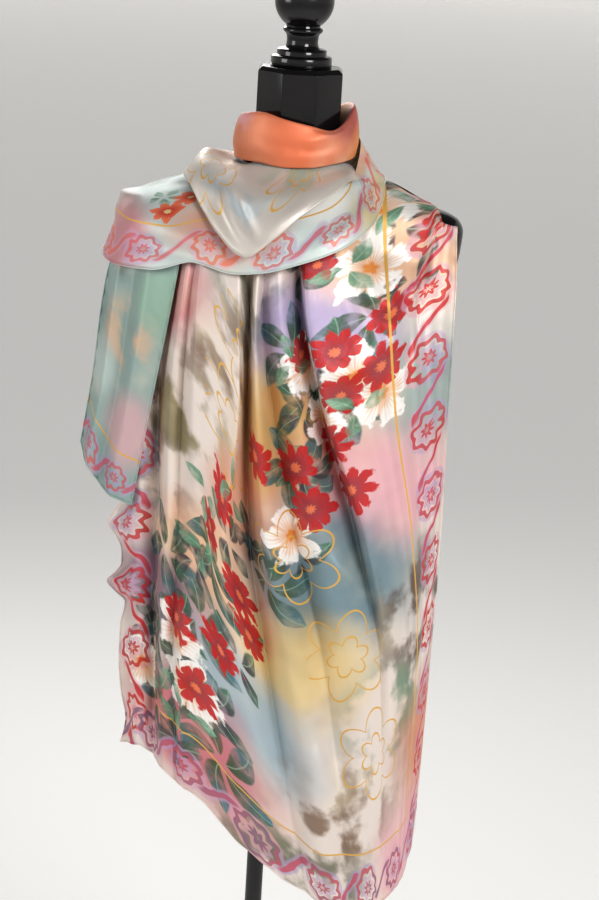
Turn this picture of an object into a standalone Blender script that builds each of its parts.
"""A printed silk scarf wound round the neck and shoulders of a limbless dress form.

The scarf is one long rectangle of satin, modelled as the stretches that show: a collar high on the neck, a
cowl below it, a shoulder wrap whose border crosses the chest, a tail over one shoulder, a long front fall and
the drape over the upper back. Each stretch is a thin wall of cloth through its own fold lines or sections.
The dress form is a smooth torso with a neck block and a turned finial, on a pole and a round base plate.

Frame: metres, +Z up, the front towards -Y, +X on the viewer's right, origin on the floor under the pole.
The tables are in millimetres. Depth is how far a point lies in front of the pole's axis.
"""

import math
from collections import namedtuple

import bmesh
import bpy
import numpy as np

MM = 0.001

# Cloth
WALL = 1.2
REST = 0.7
SEAM = 0.3
TROUGH_PINCH = 0.9
ROW_CROWDING = 1.1
SIDEWAYS = 0.1

# Dress form
NECK_FLATS = 52.2
NECK_SIDES = 8
NECK_CORNERS = NECK_FLATS / math.cos(math.pi / NECK_SIDES)
NECK_BOTTOM = 1412.3
NECK_TOP = 1520.0
NECK_CHAMFER = 5.0
TORSO_SIDES = 36
POLE_RADIUS = 11.0
POLE_TOP = 747.7
BASE_RADIUS = 165.0
BASE_THICKNESS = 12.0
BASE_ROUND = 3.0
SOCKET_RADIUS = 21.0
SOCKET_TOP = 52.0

Ring = namedtuple("Ring", "height half_width front back")
TORSO_RINGS = (
    Ring(748, 166, 95, 104),
    Ring(766, 172, 99, 109),
    Ring(810, 168, 98, 107),
    Ring(880, 152, 94, 97),
    Ring(950, 138, 89, 87),
    Ring(1010, 138, 88, 84),
    Ring(1070, 150, 93, 88),
    Ring(1130, 167, 101, 95),
    Ring(1190, 183, 106, 101),
    Ring(1230, 195, 103, 103),
    Ring(1265, 206, 96, 101),
    Ring(1300, 213, 88, 97),
    Ring(1326, 215, 83, 93),
    Ring(1339, 209, 80, 89),
    Ring(1347, 196, 78, 86),
    Ring(1354, 172, 76, 82),
    Ring(1364, 146, 72, 77),
    Ring(1376, 117, 67, 71),
    Ring(1388, 86, 62, 64),
    Ring(1400, 62, 57, 58),
    Ring(1412, 53, 53, 53),
)
NECK_RINGS = (Ring(1420, 56.5, 56.5, 56.5), Ring(1520, 56.5, 56.5, 56.5))

# Turned profile of the finial, from its foot on the neck block to its top.
Turn = namedtuple("Turn", "height radius")
FINIAL_FOOT = (
    Turn(1520.3, 38.0),
    Turn(1531.5, 38.0),
    Turn(1533.0, 36.5),
    Turn(1534.0, 31.0),
    Turn(1540.0, 31.0),
    Turn(1541.5, 29.5),
    Turn(1544.0, 21.0),
    Turn(1552.0, 19.5),
    Turn(1560.0, 21.0),
    Turn(1565.0, 25.0),
    Turn(1569.0, 21.0),
)
BALL_RADIUS = 37.0
BALL_CENTRE = 1601.0

# The collar: a soft roll of cloth, its crest dipping at the front right and rising behind.
CollarSection = namedtuple("CollarSection", "azimuth crest bottom inner outer")
COLLAR = (
    CollarSection(-150, 1449, 1404, 58.3, 76),
    CollarSection(-115, 1449, 1404, 59.4, 78),
    CollarSection(-88, 1456, 1404, 60.5, 79),
    CollarSection(-62, 1463, 1405, 61.5, 79),
    CollarSection(-37, 1467, 1406, 62, 78),
    CollarSection(-12, 1461, 1403, 62.5, 77),
    CollarSection(13, 1455, 1404, 62.5, 77),
    CollarSection(37, 1449, 1408, 62, 77),
    CollarSection(60, 1459, 1411, 61.5, 77),
    CollarSection(84, 1475, 1413, 60.5, 77),
    CollarSection(105, 1476, 1412, 59.4, 77),
    CollarSection(140, 1466, 1407, 58.2, 76),
    CollarSection(178, 1455, 1404, 58.0, 75),
)

# The cowl and the shoulder wrap: radius and height of each line, round the neck. Azimuth 0 is the front.
WrapSection = namedtuple("WrapSection", "azimuth neck_r neck_z slope_r slope_z brow_r brow_z hem_r hem_z")
COWL = (
    WrapSection(-150, 58, 1397, 74, 1397, 88, 1394, 98, 1378),
    WrapSection(-115, 62, 1397, 86, 1401, 108, 1404, 122, 1385),
    WrapSection(-90, 62, 1396, 86, 1402, 112, 1411, 135, 1384),
    WrapSection(-65, 63, 1399, 86, 1399, 120, 1402, 144, 1378),
    WrapSection(-48, 64, 1404, 90, 1395, 130, 1382, 145, 1347),
    WrapSection(-36, 65, 1406, 90, 1393, 132, 1374, 151, 1325),
    WrapSection(-20, 66, 1406, 90, 1391, 134, 1366, 157, 1302),
    WrapSection(-8, 66, 1405, 88, 1391, 128, 1370, 147, 1325),
    WrapSection(5, 66, 1405, 88, 1391, 116, 1378, 133, 1354),
    WrapSection(21, 66, 1406, 86, 1394, 106, 1388, 120, 1376),
    WrapSection(42, 66, 1408, 80, 1400, 94, 1398, 104, 1392),
    WrapSection(65, 64, 1407, 72, 1402, 80, 1398, 85.4, 1390),
    WrapSection(90, 62, 1403, 68, 1401, 74, 1396, 77, 1388),
    WrapSection(135, 60, 1402, 64, 1399, 69, 1394, 73, 1386),
    WrapSection(178, 57, 1400, 64, 1398, 72, 1392, 78, 1382),
)
SHOULDER_WRAP = (
    WrapSection(-168, 91, 1374, 99, 1364, 112, 1340, 124, 1298),
    WrapSection(-156, 91, 1369, 102, 1361, 120, 1340, 134, 1294),
    WrapSection(-140, 89, 1370, 108, 1362, 136, 1346, 156, 1290),
    WrapSection(-122, 92, 1378, 116, 1370, 156, 1354, 188, 1284),
    WrapSection(-105, 92, 1386, 128, 1376, 190, 1352, 228, 1284),
    WrapSection(-90, 92, 1386, 134, 1375, 204, 1348, 236, 1276),
    WrapSection(-75, 90, 1384, 132, 1372, 196, 1344, 225, 1270),
    WrapSection(-60, 84, 1382, 120, 1369, 172, 1336, 196, 1272),
    WrapSection(-46, 76, 1382, 106, 1367, 146, 1330, 164, 1287),
    WrapSection(-28, 68, 1385, 97, 1368, 132, 1330, 149, 1279),
    WrapSection(-12, 62, 1388, 94, 1371, 130, 1332, 146, 1284),
    WrapSection(4, 62, 1388, 94, 1373, 128, 1336, 143, 1296),
    WrapSection(24, 62, 1389, 92, 1378, 126, 1344, 145, 1315),
    WrapSection(42, 64, 1391, 88, 1384, 118, 1360, 140, 1338),
    WrapSection(62, 88, 1385, 98, 1384, 110, 1374, 122, 1360),
    WrapSection(80, 84, 1416, 92, 1408, 102, 1396, 114, 1384),
    WrapSection(98, 81, 1433, 90, 1416, 102, 1398, 114, 1386),
    WrapSection(125, 82, 1436, 91, 1414, 104, 1386, 118, 1350),
    WrapSection(160, 84, 1422, 93, 1402, 106, 1366, 120, 1310),
    WrapSection(180, 88, 1388, 95, 1376, 108, 1348, 120, 1304),
)

CHEST = 1288

# Fold lines of the hanging stretches, in order across the cloth. A point is (x, depth, height). Between top
# and hem, xs and depths are read at the stretch's own heights. lift is the least gap to the form.
Fold = namedtuple("Fold", "name trough top xs depths hem lift", defaults=(REST,))
FALL_HEIGHTS = (1250, 1110, 960, 800)
FALL = (
    Fold("left_hem", 0, (-165, 56, 1318), (-172, -190, -201, -189), (56, 46, 44, 50), (-182, 56, 644)),
    Fold("left_roll", 0, (-150, 66, 1319), (-158, -168, -174, -163), (80, 80, 82, 86), (-159, 86, 652)),
    Fold("left_dip", 1, (-134, 70, 1320), (-139, -153, -148, -145), (72, 66, 68, 74), (-138, 84, 641), 0.5),
    Fold("left_ridge", 0, (-118, 88, 1321), (-126, -134, -132, -131), (112, 116, 116, 116), (-122, 112, 629)),
    Fold("left_nick", 1, (-110, 87, 1322), (-118, -123, -122, -119), (106, 107, 107, 110), (-110, 112, 619)),
    Fold("gold_ridge", 0, (-98, 98, 1322), (-107, -104, -92, -106), (127, 136, 136, 132), (-95, 122, 609)),
    Fold("ochre_roll", 0, (-64, 106, 1323), (-59, -52, -64, -38), (135, 148, 150, 146), (-15, 134, 541)),
    Fold("deep_valley", 1, (-44, 94, 1323), (-45, -42, -32, -3), (104, 107, 108, 112), (66, 126, 483)),
    Fold("centre_ridge", 0, (-36, 110, 1323), (-37, -28, -8, 31), (141, 154, 156, 154), (107, 146, 465)),
    Fold("centre_valley", 1, (-30, 102, 1323), (-30, -10, 24, 69), (121, 124, 128, 136), (128, 144, 465)),
    Fold("middle_ridge", 0, (-16, 112, 1323), (-10, 20, 56, 103), (143, 156, 158, 158), (147, 150, 470)),
    Fold("long_valley", 1, (8, 96, 1324), (17, 50, 102, 142), (106, 109, 120, 144), (162, 146, 478)),
    Fold("long_ridge", 0, (18, 110, 1326), (24, 62, 116, 154), (145, 158, 157, 152), (172, 140, 487)),
    Fold("bright_slope", 0, (52, 100, 1338), (70, 104, 146, 174), (132, 146, 146, 138), (182, 130, 496)),
    Fold("pocket", 0, (84, 62, 1366), (98, 124, 160, 182), (126, 138, 136, 128), (187, 121, 502), 3.2),
    Fold("shoulder", 0, (106, -5, 1379), (124, 142, 172, 189), (116, 128, 127, 118), (191, 113, 509), 3.2),
    Fold("overlap_edge", 0, (171, -5, 1354), (154, 167, 185, 197), (98, 112, 108, 101), (196, 98, 525), 3.6),
    Fold("under_tuck", 1, (178, -5, 1352), (161, 175, 191, 200), (84, 105, 103, 97), (198, 94, 530), 2.0),
    Fold("strip_start", 0, (187, 38, 1341), (173, 186, 198, 203), (76, 99, 98, 92), (200, 88, 537), 2.2),
    Fold("border_strip", 0, (196, 34, 1338), (191, 197, 204, 206), (69, 87, 86, 82), (201, 79, 545), 2.2),
    Fold("right_hem", 0, (205, 24, 1334), (208, 208, 210, 208), (60, 72, 74, 72), (203, 68, 552), 2.2),
)
TAIL_HEIGHTS = (1250, 1110)
TAIL = (
    Fold("tail_outer_hem", 0, (-212, 6, 1300), (-227, -241), (22, 26), (-251, 30, 1033)),
    Fold("tail_outer_ridge", 0, (-202, 30, 1302), (-211, -224), (54, 60), (-241, 58, 1011)),
    Fold("tail_valley", 1, (-184, 54, 1304), (-192, -206), (58, 60), (-226, 56, 991)),
    Fold("tail_inner_ridge", 0, (-164, 78, 1304), (-170, -186), (86, 92), (-206, 84, 978)),
    Fold("tail_inner_hem", 0, (-132, 92, 1304), (-139, -160), (95, 92), (-181, 82, 968)),
)
BACK_HEIGHTS = (1300, 1200)
BACK = (
    Fold("back_left_edge", 0, (-186, -46, 1322), (-190, -182), (-58, -72), (-176, -78, 1172), 1.7),
    Fold("back_left_ridge", 0, (-158, -62, 1334), (-158, -146), (-82, -98), (-142, -102, 1132), 1.7),
    Fold("back_left_valley", 1, (-128, -66, 1342), (-126, -112), (-88, -100), (-106, -103, 1102), 1.7),
    Fold("back_ridge", 0, (-90, -76, 1348), (-90, -74), (-106, -122), (-68, -122, 1078), 1.7),
    Fold("back_valley", 1, (-46, -78, 1356), (-46, -30), (-101, -108), (-26, -107, 1064), 1.7),
    Fold("back_middle_ridge", 0, (0, -76, 1364), (0, 14), (-104, -124), (18, -124, 1060), 1.3),
    Fold("back_right_valley", 1, (48, -68, 1372), (50, 60), (-98, -109), (64, -108, 1072), 1.7),
    Fold("back_right_ridge", 0, (106, -6.5, 1379), (104, 106), (-98, -114), (108, -114, 1104), 3.2),
    Fold("back_right_edge", 0, (171, -6.5, 1354), (168, 162), (-70, -84), (158, -86, 1160), 3.2),
)

# Swags and creases that cross the folds of the front fall, from one end to the other in front view.
Swag = namedtuple("Swag", "x0 z0 bend_x bend_z x1 z1 width height")
FALL_SWAGS = (
    Swag(36, 1190, 84, 1132, 132, 1214, 18, 9),
    Swag(44, 1150, 86, 1100, 134, 1186, 14, -7),
    Swag(86, 1124, 86, 1108, 80, 1080, 18, 6),
    Swag(70, 935, 92, 918, 112, 894, 16, 7),
    Swag(62, 690, 86, 640, 110, 580, 28, 9),
    Swag(-70, 760, -40, 700, -30, 640, 28, -9),
)
COLLAR_SWAGS = (
    Swag(8, 1430, 38, 1446, 62, 1452, 9, 4),
    Swag(-44, 1434, 0, 1420, 50, 1432, 8, -3),
)
COWL_SWAGS = (
    Swag(-94, 1392, -88, 1345, -50, 1312, 12, 9),
    Swag(-66, 1382, -62, 1350, -44, 1330, 10, -5),
    Swag(58, 1390, 6, 1366, -42, 1318, 12, 5),
    Swag(20, 1384, -20, 1372, -56, 1346, 10, -3),
    Swag(-122, 1390, -108, 1372, -98, 1350, 10, 4),
)
WRAP_SWAGS = (
    Swag(-200, 1330, -140, 1322, -70, 1294, 14, 5),
    Swag(-206, 1300, -150, 1302, -100, 1290, 10, -4),
    Swag(10, 1306, 72, 1330, 104, 1380, 10, 5),
)

Look = namedtuple("Look", "red green blue roughness metallic")
SATIN = Look(0.74, 0.66, 0.58, 0.32, 0.0)
COLLAR_SATIN = Look(0.78, 0.42, 0.26, 0.32, 0.0)
PEARL_SATIN = Look(0.68, 0.66, 0.62, 0.30, 0.0)
BORDER_SATIN = Look(0.70, 0.52, 0.50, 0.32, 0.0)
AQUA_SATIN = Look(0.58, 0.66, 0.62, 0.32, 0.0)
BLACK_LACQUER = Look(0.012, 0.012, 0.014, 0.22, 0.0)
BLACK_METAL = Look(0.02, 0.02, 0.022, 0.38, 0.6)


def clear_scene():
    for obj in list(bpy.data.objects):
        bpy.data.objects.remove(obj, do_unlink=True)


def through(stations, values, at):
    """A smooth curve through the values at rising stations, with no overshoot, read at each place in at."""
    stations = np.asarray(stations, float)
    values = np.asarray(values, float)
    step = np.diff(stations)
    slope = np.diff(values) / step
    tangent = np.zeros_like(values)
    tangent[0] = slope[0]
    tangent[-1] = slope[-1]
    same_way = slope[:-1] * slope[1:] > 0
    weight_a = 2 * step[1:] + step[:-1]
    weight_b = step[1:] + 2 * step[:-1]
    with np.errstate(divide="ignore", invalid="ignore"):
        inner = (weight_a + weight_b) / (weight_a / slope[:-1] + weight_b / slope[1:])
    tangent[1:-1] = np.where(same_way, inner, 0.0)
    at = np.clip(np.asarray(at, float), stations[0], stations[-1])
    k = np.clip(np.searchsorted(stations, at, side="right") - 1, 0, len(step) - 1)
    t = (at - stations[k]) / step[k]
    start = values[k] * (1 + 2 * t) * (1 - t) ** 2 + step[k] * tangent[k] * t * (1 - t) ** 2
    end = values[k + 1] * t * t * (3 - 2 * t) + step[k] * tangent[k + 1] * t * t * (t - 1)
    return start + end


def round_the_neck(azimuths, values, at):
    """through() for values that close into a ring, azimuths in rising degrees."""
    turns = np.concatenate([np.asarray(azimuths, float) + shift for shift in (-360, 0, 360)])
    return through(turns, np.tile(np.asarray(values, float), 3), at)


def form_size(heights):
    """Half width, front depth and back depth of the form and its neck at each height."""
    rings = TORSO_RINGS + NECK_RINGS
    levels = [ring.height for ring in rings]
    return [
        through(levels, [getattr(ring, column) for ring in rings], heights)
        for column in ("half_width", "front", "back")
    ]


def outside_form(points):
    """0 on the form's surface, less inside and more outside."""
    half_width, front, back = form_size(points[..., 2])
    depth = np.where(points[..., 1] < 0, front, back)
    return np.hypot(points[..., 0] / half_width, points[..., 1] / depth) - 1


def clear_of_form(points, gap, sideways=1.0):
    """Moves each point that lies nearer the form than the gap out to it. sideways scales the part along X."""
    points = points.copy()
    probe = 1.0
    for _ in range(30):
        value = outside_form(points)
        gradient = np.stack(
            [
                (outside_form(points + probe * axis) - outside_form(points - probe * axis)) / (2 * probe)
                for axis in np.eye(3)
            ],
            axis=-1,
        )
        size = np.linalg.norm(gradient, axis=-1) + 1e-9
        short = 0.4 * np.clip(gap - value / size, 0, 20)
        way = gradient * (sideways, 1.0, 1.0)
        way_size = np.linalg.norm(way, axis=-1) + 1e-9
        reach = np.clip(size / way_size, 1, 3)
        points += way / way_size[..., None] * (short * reach)[..., None]
    return points


def along(path, shares):
    """Points at shares of the path's length."""
    length = np.concatenate([[0], np.cumsum(np.linalg.norm(np.diff(path, axis=0), axis=1))])
    return np.stack([np.interp(shares * length[-1], length, path[:, axis]) for axis in range(3)], axis=-1)


def fold_line(fold, heights, chest, above, below):
    """Points down one fold line: above rows from its top to the chest, then below rows to its hem."""
    inside = [i for i, height in enumerate(heights) if fold.hem[2] + 15 < height < fold.top[2] - 15]
    levels = [fold.top[2]] + [heights[i] for i in inside] + [fold.hem[2]]
    xs = [fold.top[0]] + [fold.xs[i] for i in inside] + [fold.hem[0]]
    depths = [fold.top[1]] + [fold.depths[i] for i in inside] + [fold.hem[1]]
    z = np.concatenate([np.linspace(fold.top[2], chest, 80), np.linspace(chest, fold.hem[2], 160)[1:]])
    x = through(levels[::-1], xs[::-1], z)
    y = -through(levels[::-1], depths[::-1], z)
    path = clear_of_form(np.stack([x, y, z], axis=-1), fold.lift, SIDEWAYS)
    upper = along(path[:80], np.linspace(0, 1, above + 1)[:-1])
    lower = along(path[79:], np.linspace(0, 1, below) ** ROW_CROWDING)
    return np.concatenate([upper, lower])


def swag_height(points, swags):
    """How far the swags push each point forward, from its distance to their arcs in front view."""
    pushed = np.zeros(points.shape[:-1])
    for swag in swags:
        nearest = np.full(points.shape[:-1], np.inf)
        along = np.zeros(points.shape[:-1])
        for t in np.linspace(0, 1, 17):
            x = (1 - t) ** 2 * swag.x0 + 2 * t * (1 - t) * swag.bend_x + t * t * swag.x1
            z = (1 - t) ** 2 * swag.z0 + 2 * t * (1 - t) * swag.bend_z + t * t * swag.z1
            distance = np.hypot(points[..., 0] - x, points[..., 2] - z)
            along = np.where(distance < nearest, t, along)
            nearest = np.minimum(nearest, distance)
        taper = np.sin(math.pi * (0.08 + 0.84 * along)) * np.clip(-points[..., 1] / 25, 0, 1)
        pushed += swag.height * taper * np.exp(-((nearest / swag.width) ** 2))
    return pushed


def fold_surface(folds, heights, chest, above, below, spacing, swags=()):
    """Grid of points, rows down the cloth by columns across it, through the fold lines."""
    lines = np.stack([fold_line(fold, heights, chest, above, below) for fold in folds], axis=1)
    columns = []
    lifts = []
    for i in range(len(folds) - 1):
        left = lines[:, i]
        right = lines[:, i + 1]
        across = np.linalg.norm(right - left, axis=-1)
        steps = max(2, int(round((across.mean() + across.max()) / (2 * spacing))))
        for k in range(steps + (i == len(folds) - 2)):
            s = k / steps
            start = TROUGH_PINCH * folds[i].trough * (s**3 - 2 * s * s + s)
            end = TROUGH_PINCH * folds[i + 1].trough * (s**3 - s * s)
            ease = 3 * s * s - 2 * s**3 + start + end
            point = left + (right - left) * s
            point[:, 1] = left[:, 1] + (right[:, 1] - left[:, 1]) * ease
            point[:, 2] = [through(range(len(folds)), row[:, 2], i + s) for row in lines]
            columns.append(point)
            lifts.append(folds[i].lift + (folds[i + 1].lift - folds[i].lift) * s)
    grid = np.stack(columns, axis=1)
    grid[..., 1] -= swag_height(grid, swags)
    return clear_of_form(grid, np.array(lifts), SIDEWAYS)


def ring_grid(profiles):
    """Points from (azimuth in degrees, radii, heights), columns round the neck by rows along the profile."""
    columns = []
    for azimuth, radii, heights in profiles:
        turn = math.radians(azimuth)
        columns.append(np.stack([radii * math.sin(turn), -radii * math.cos(turn), heights], axis=-1))
    return np.stack(columns, axis=1)


def wrap_surface(sections, columns, rows, lift, swags):
    """A closed ring of cloth through the sections' four lines."""
    azimuths = [section.azimuth for section in sections]
    lines = ("neck", "slope", "brow", "hem")
    profiles = []
    for azimuth in np.linspace(-180, 180, columns, endpoint=False):
        radii = [
            float(round_the_neck(azimuths, [getattr(s, line + "_r") for s in sections], azimuth))
            for line in lines
        ]
        heights = [
            float(round_the_neck(azimuths, [getattr(s, line + "_z") for s in sections], azimuth))
            for line in lines
        ]
        v = np.linspace(0, 3, rows)
        profiles.append((azimuth, through(range(4), radii, v), through(range(4), heights, v)))
    grid = ring_grid(profiles)
    grid[..., 1] -= swag_height(grid, swags)
    return clear_of_form(grid, lift)


def collar_surface(columns, rows):
    """The collar's roll: up its inner wall, over the crest and down to a tucked bottom edge."""
    azimuths = [section.azimuth for section in COLLAR]
    profiles = []
    for azimuth in np.linspace(-180, 180, columns, endpoint=False):
        crest, bottom, inner, outer = (
            float(round_the_neck(azimuths, [getattr(s, name) for s in COLLAR], azimuth))
            for name in ("crest", "bottom", "inner", "outer")
        )
        height = crest - bottom
        radii = [inner, inner + 1, 0.5 * (inner + outer), outer - 3, outer, outer - 3]
        heights = [
            crest - 0.62 * height,
            crest - 0.2 * height,
            crest,
            crest - 0.22 * height,
            bottom + 0.36 * height,
            bottom,
        ]
        v = np.linspace(0, 5, rows)
        profiles.append((azimuth, through(range(6), radii, v), through(range(6), heights, v)))
    grid = ring_grid(profiles)
    grid[rows // 2 :, :, 1] -= swag_height(grid, COLLAR_SWAGS)[rows // 2 :]
    return clear_of_form(grid, REST)


def finish_mesh(name, bm, look):
    """Turns a bmesh in metres into a named object with its own material, shaded smooth."""
    mesh = bpy.data.meshes.new(name)
    bm.to_mesh(mesh)
    bm.free()
    mesh.shade_smooth()
    mesh.set_sharp_from_angle(angle=math.radians(40))
    obj = bpy.data.objects.new(name, mesh)
    bpy.context.scene.collection.objects.link(obj)
    material = bpy.data.materials.new(name + "_finish")
    material.use_nodes = True
    shader = material.node_tree.nodes["Principled BSDF"]
    shader.inputs["Base Color"].default_value = (look.red, look.green, look.blue, 1.0)
    shader.inputs["Roughness"].default_value = look.roughness
    shader.inputs["Metallic"].default_value = look.metallic
    mesh.materials.append(material)
    return obj


def cloth_wall(name, grid, look, ring=False):
    """A sheet through the grid, thickened away from the form into a closed wall."""
    rows, columns = grid.shape[:2]
    bm = bmesh.new()
    verts = [[bm.verts.new(grid[r, c] * MM) for c in range(columns)] for r in range(rows)]
    for r in range(rows - 1):
        for c in range(columns if ring else columns - 1):
            beside = (c + 1) % columns
            bm.faces.new((verts[r][c], verts[r + 1][c], verts[r + 1][beside], verts[r][beside]))
    obj = finish_mesh(name, bm, look)
    wall = obj.modifiers.new("Wall", "SOLIDIFY")
    wall.thickness = WALL * MM
    wall.offset = 1.0
    wall.use_quality_normals = True
    return obj


def turned(name, profile, look, sides=32, first=0.0):
    """A solid of revolution from (height, radius) pairs, bottom to top, with flat ends.

    first turns its first corner, in shares of a side.
    """
    bm = bmesh.new()
    turns = [2 * math.pi * (i + first) / sides for i in range(sides)]
    rings = []
    for height, radius in profile:
        circle = [(radius * math.cos(turn) * MM, radius * math.sin(turn) * MM, height * MM) for turn in turns]
        rings.append([bm.verts.new(point) for point in circle])
    for low, high in zip(rings, rings[1:]):
        for i in range(sides):
            j = (i + 1) % sides
            bm.faces.new((low[i], low[j], high[j], high[i]))
    bm.faces.new(rings[0][::-1])
    bm.faces.new(rings[-1])
    return finish_mesh(name, bm, look)


def make_torso():
    """The form's smooth body, without limbs, closed top and bottom."""
    bm = bmesh.new()
    rings = []
    for ring in TORSO_RINGS:
        points = []
        for i in range(TORSO_SIDES):
            turn = 2 * math.pi * i / TORSO_SIDES
            depth = ring.front if math.sin(turn) < 0 else ring.back
            x = ring.half_width * math.cos(turn)
            y = depth * math.sin(turn)
            points.append(bm.verts.new((x * MM, y * MM, ring.height * MM)))
        rings.append(points)
    for low, high in zip(rings, rings[1:]):
        for i in range(TORSO_SIDES):
            j = (i + 1) % TORSO_SIDES
            bm.faces.new((low[i], low[j], high[j], high[i]))
    bm.faces.new(rings[0][::-1])
    bm.faces.new(rings[-1])
    return finish_mesh("torso", bm, BLACK_LACQUER)


def make_stand():
    """The round base plate with its socket, and the pole that stands in it."""
    plate_and_socket = [
        (0.0, BASE_RADIUS),
        (BASE_THICKNESS - BASE_ROUND, BASE_RADIUS),
        (BASE_THICKNESS, BASE_RADIUS - BASE_ROUND),
        (BASE_THICKNESS, SOCKET_RADIUS + BASE_ROUND),
        (BASE_THICKNESS + BASE_ROUND, SOCKET_RADIUS),
        (SOCKET_TOP, SOCKET_RADIUS),
    ]
    turned("base", plate_and_socket, BLACK_METAL, 40)
    turned("pole", [(SOCKET_TOP + SEAM, POLE_RADIUS), (POLE_TOP, POLE_RADIUS)], BLACK_METAL, 20)


def make_neck():
    """The eight-sided neck block with a flat to the front, and the stepped finial on it up to its ball."""
    block = [
        (NECK_BOTTOM, NECK_CORNERS),
        (NECK_TOP - NECK_CHAMFER, NECK_CORNERS),
        (NECK_TOP, NECK_CORNERS - NECK_CHAMFER),
    ]
    turned("neck_block", block, BLACK_LACQUER, NECK_SIDES, 0.5)
    top = BALL_CENTRE - math.sqrt(BALL_RADIUS**2 - FINIAL_FOOT[-1].radius ** 2)
    first = math.asin((top - BALL_CENTRE) / BALL_RADIUS)
    ball = [
        (BALL_CENTRE + BALL_RADIUS * math.sin(a), BALL_RADIUS * math.cos(a))
        for a in np.linspace(first, math.radians(80), 9)
    ]
    turned("finial", list(FINIAL_FOOT[:-1]) + ball, BLACK_LACQUER, 28)


def make_scarf():
    """The six stretches of the scarf that show, from the neck down."""
    cloth_wall("neck_collar", collar_surface(36, 10), COLLAR_SATIN, ring=True)
    cloth_wall("cowl", wrap_surface(COWL, 48, 9, 1.0, COWL_SWAGS), PEARL_SATIN, ring=True)
    cloth_wall("shoulder_wrap", wrap_surface(SHOULDER_WRAP, 48, 10, 7.0, WRAP_SWAGS), BORDER_SATIN, ring=True)
    cloth_wall("front_fall", fold_surface(FALL, FALL_HEIGHTS, CHEST, 6, 20, 14.5, FALL_SWAGS), SATIN)
    cloth_wall("left_tail", fold_surface(TAIL, TAIL_HEIGHTS, CHEST, 2, 12, 12.0), AQUA_SATIN)
    cloth_wall("back_drape", fold_surface(BACK, BACK_HEIGHTS, CHEST, 7, 8, 14.0)[:, ::-1], SATIN)


clear_scene()
make_stand()
make_torso()
make_neck()
make_scarf()
